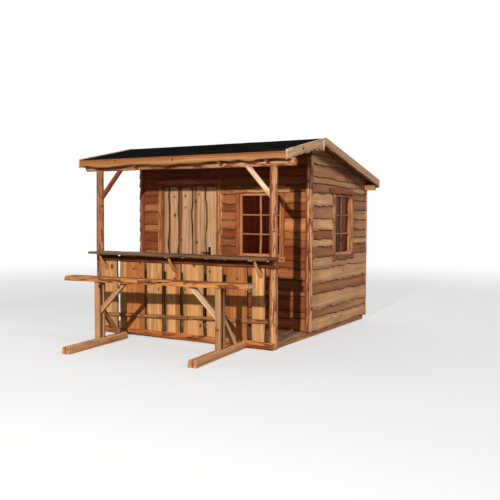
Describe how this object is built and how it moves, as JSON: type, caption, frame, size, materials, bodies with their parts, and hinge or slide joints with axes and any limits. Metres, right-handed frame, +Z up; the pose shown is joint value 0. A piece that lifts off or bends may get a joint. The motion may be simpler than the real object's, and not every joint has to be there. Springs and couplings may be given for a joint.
{
  "type": "garden shed with porch bar",
  "caption": "Waney-edge timber garden shed with a felted gable roof, a log porch with a serving bar, a hinged door, glazed windows and a matching high bar bench in front.",
  "frame": {"origin": "ground level under the ridge, half way along the front wall of the house, on the underside of the middle floor bearer", "axes": "+Z up, +Y from the porch towards the rear wall, +X to the right when seen from the porch"},
  "size_m": [3.255, 4.5041, 2.6099],
  "materials": {
    "wall_boards": "oiled rough timber",
    "bar_wood": "oiled rough timber",
    "weathered_wood": "oiled rough timber",
    "roof_edge_boards": "oiled rough timber",
    "bench_wood": "oiled rough timber",
    "door_surround": "oiled rough timber",
    "black_iron": "black painted iron",
    "door_boards": "oiled rough timber",
    "floor_wood": "oiled rough timber",
    "round_logs": "oiled rough timber",
    "sawn_timber": "oiled rough timber",
    "window_wood": "oiled rough timber",
    "window_glass": "clear sheet glass",
    "side_boards": "oiled rough timber",
    "roofing_felt": "mineral roofing felt, matt black"
  },
  "bodies": {
    "shed": {"back_wall": "wall_boards", "bar_boards": "bar_wood", "bar_brackets": "bar_wood", "bar_rails": "bar_wood", "bar_sill": "bar_wood", "bar_top": "weathered_wood", "barge_peak_strip": "roof_edge_boards", "bench_braces": "bench_wood", "bench_feet": "bench_wood", "bench_plank": "bench_wood", "bench_posts": "bench_wood", "door_casing": "door_surround", "door_frame": "door_surround", "floor_bearers": "floor_wood", "front_corner_posts": "round_logs", "front_fascia": "roof_edge_boards", "front_rafters": "sawn_timber", "front_roof_boards": "sawn_timber", "front_wall_left": "wall_boards", "front_wall_over_door": "wall_boards", "front_wall_right": "wall_boards", "front_window_frame": "window_wood", "front_window_glass": "window_glass", "front_window_trim": "window_wood", "hinge_pintles": "black_iron", "house_floor": "floor_wood", "left_barge_boards": "roof_edge_boards", "left_porch_post": "round_logs", "left_wall": "side_boards", "porch_beam": "round_logs", "porch_braces": "round_logs", "porch_deck": "floor_wood", "rear_corner_boards": "sawn_timber", "rear_fascia": "roof_edge_boards", "rear_rafters": "sawn_timber", "rear_roof_boards": "sawn_timber", "rear_wall_plate": "sawn_timber", "ridge_beam": "sawn_timber", "right_barge_boards": "roof_edge_boards", "right_porch_post": "round_logs", "right_wall": "side_boards", "right_window_frame": "window_wood", "right_window_glass": "window_glass", "right_window_trim": "window_wood", "roof_felt": "roofing_felt"},
    "door": {"door_leaf": "door_boards", "door_ledges": "door_boards", "door_hinges": "black_iron", "lock_plates": "black_iron"},
    "lever": {"door_lever": "black_iron"}
  },
  "joints": [
    {"name": "door_hinge", "type": "hinge", "parent": "shed", "child": "door", "pos_m": [-0.9745, 0.0462, 1.075], "axis": [0, 0, 1], "range_deg": [0, 105]},
    {"name": "lever_turn", "type": "hinge", "parent": "door", "child": "lever", "pos_m": [-0.161, 0, 1.08], "axis": [0, -1, 0], "range_deg": [0, 40], "stiffness_Nm_per_rad": 1.2, "springref_deg": -28.65}
  ]
}
